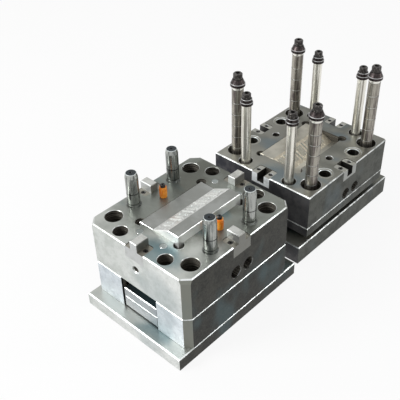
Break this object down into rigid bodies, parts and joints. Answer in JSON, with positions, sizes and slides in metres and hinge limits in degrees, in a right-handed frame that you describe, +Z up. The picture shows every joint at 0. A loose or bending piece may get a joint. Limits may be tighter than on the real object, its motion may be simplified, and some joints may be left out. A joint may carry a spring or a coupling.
{
  "type": "injection mould base",
  "caption": "Opened three-plate injection mould base: ejector half with ramped core insert beside cavity half on tall support pins and puller bolts.",
  "frame": {"origin": "on the floor, at the middle of the two halves' joint bounding box", "axes": "+Z up, +Y from the moving half towards the fixed half along the long side, +X towards the side with the water ports"},
  "size_m": [0.366, 0.976, 0.478],
  "materials": {
    "plate_steel": "milled and ground plate steel, lightly tarnished, bright broken edges",
    "dark_plate_steel": "milled plate steel under an oil film",
    "insert_steel": "fine ground and spark eroded insert steel",
    "cavity_steel": "polished insert steel with a straw coloured tint",
    "pin_steel": "ground and polished hardened steel",
    "support_pin_steel": "ground hardened steel with a brown oil film",
    "lock_steel": "ground hardened steel",
    "black_screw": "black oxide",
    "spring_steel": "enamelled spring steel",
    "bronze": "machined bronze",
    "orange_nylon": "translucent turned nylon",
    "seal_rubber": "smooth black rubber"
  },
  "bodies": {
    "standing_halves": {"moving_clamp_plate": "plate_steel", "spacer_block_left": "plate_steel", "spacer_block_right": "plate_steel", "core_plate": "plate_steel", "core_insert": "insert_steel", "core_insert_screws": "black_screw", "core_o_rings": "seal_rubber", "core_water_plug": "bronze", "leader_pins": "pin_steel", "nylon_lock_sleeves": "orange_nylon", "nylon_lock_screws": "black_screw", "side_lock_tongues": "lock_steel", "side_lock_tongue_screws": "black_screw", "clamp_plate_screws": "black_screw", "spacer_screws": "black_screw", "spacer_dowels": "pin_steel", "support_pillars": "plate_steel", "support_pillar_screws": "black_screw", "rest_buttons": "pin_steel", "ejector_guide_pins": "pin_steel", "return_springs": "spring_steel", "fixed_clamp_plate": "dark_plate_steel", "support_pins": "support_pin_steel", "support_pin_collars": "support_pin_steel", "support_pin_screws": "black_screw", "sprue_bush": "pin_steel", "runner_lock_pins": "pin_steel", "runner_lock_pin_plugs": "black_screw", "opening_springs": "spring_steel"},
    "ejector_set": {"ejector_base_plate": "plate_steel", "ejector_retainer_plate": "plate_steel", "ejector_plate_screws": "black_screw", "ejector_pins": "pin_steel", "return_pins": "pin_steel", "ejector_guide_bushes": "bronze"},
    "stripper_set": {"stripper_plate": "plate_steel", "stripper_bushes": "pin_steel", "stripper_stop_bolts": "black_screw", "puller_bolts": "pin_steel", "puller_collars": "pin_steel", "puller_screws": "black_screw"},
    "cavity_set": {"cavity_plate": "dark_plate_steel", "cavity_insert": "cavity_steel", "cavity_insert_screws": "black_screw", "cavity_o_rings": "seal_rubber", "cavity_water_plug": "bronze", "guide_bushes": "pin_steel", "cavity_support_bushes": "pin_steel", "side_lock_sockets": "lock_steel", "side_lock_socket_screws": "black_screw"}
  },
  "joints": [
    {"name": "ejector_slide", "type": "slide", "parent": "standing_halves", "child": "ejector_set", "axis": [0, 0, 1], "range_m": [0, 0.0348], "stiffness_N_per_m": 120000, "springref_m": -0.0067, "deforming": ["return_springs"]},
    {"name": "stripper_slide", "type": "slide", "parent": "standing_halves", "child": "stripper_set", "axis": [0, 0, 1], "range_m": [-0.0198, 0], "stiffness_N_per_m": 200000, "springref_m": 0.01, "deforming": ["opening_springs"]},
    {"name": "cavity_slide", "type": "slide", "parent": "stripper_set", "child": "cavity_set", "axis": [0, 0, 1], "range_m": [0, 0.2298]}
  ]
}
